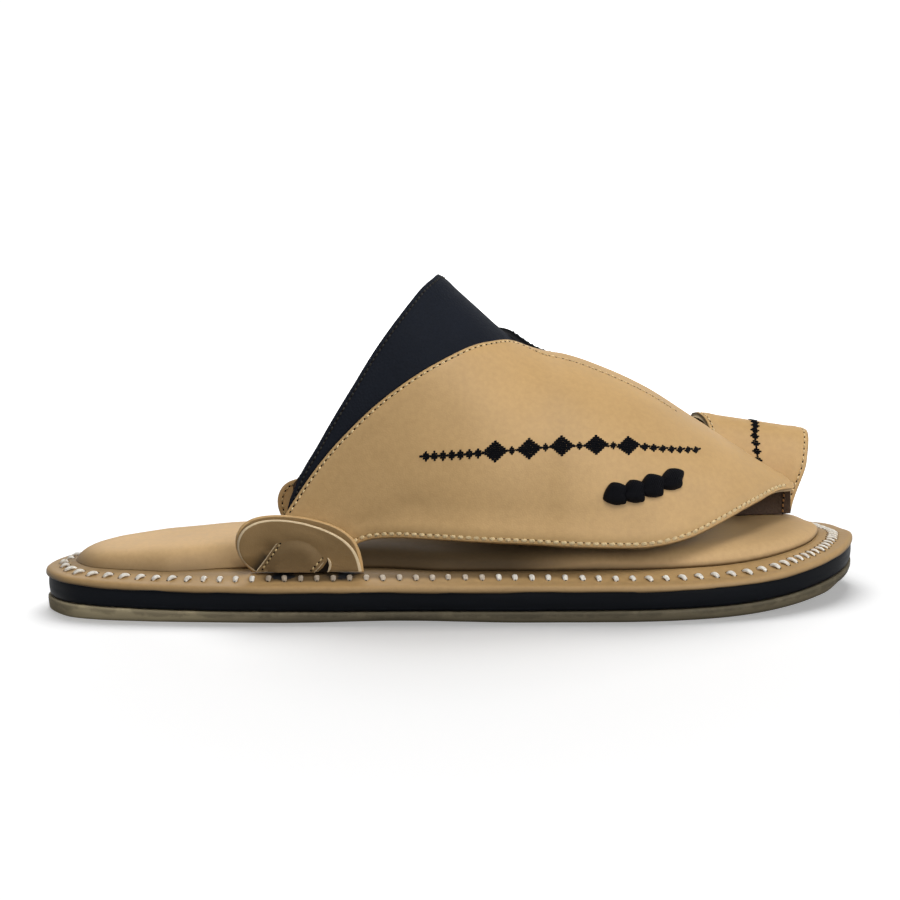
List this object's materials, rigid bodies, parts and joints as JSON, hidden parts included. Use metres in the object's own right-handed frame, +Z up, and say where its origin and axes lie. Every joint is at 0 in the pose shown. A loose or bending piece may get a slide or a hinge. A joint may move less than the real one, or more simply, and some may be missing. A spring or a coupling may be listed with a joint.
{
  "type": "arabic sandal",
  "caption": "Traditional leather sandal with a stitched flat sole, a tan wing strap over a black instep panel and a big-toe loop",
  "frame": {"origin": "On the floor under the middle of the sole's box", "axes": "+X to the toe, +Y to the inner (medial) side of the foot, +Z up"},
  "size_m": [0.291, 0.1032, 0.1157],
  "materials": {
    "outsole_rubber": "matte olive-tan rubber",
    "midsole_rubber": "satin black sole edge",
    "tan_leather": "smooth tan leather, fine grain, soft gloss",
    "black_leather": "navy-black leather with a fine pebbled grain",
    "black_cord": "black waxed embroidery thread"
  },
  "bodies": {
    "root": {"outsole": "outsole_rubber", "midsole": "midsole_rubber", "welt": "tan_leather", "footbed": "tan_leather", "upper": "tan_leather", "instep_panel": "black_leather", "medial_wing": "black_leather", "ear_lateral": "tan_leather", "ear_medial": "tan_leather", "strap_tail_lateral": "tan_leather", "strap_tail_medial": "black_leather", "knot_1": "black_cord", "knot_2": "black_cord", "knot_3": "black_cord", "knot_4": "black_cord"}
  },
  "joints": []
}
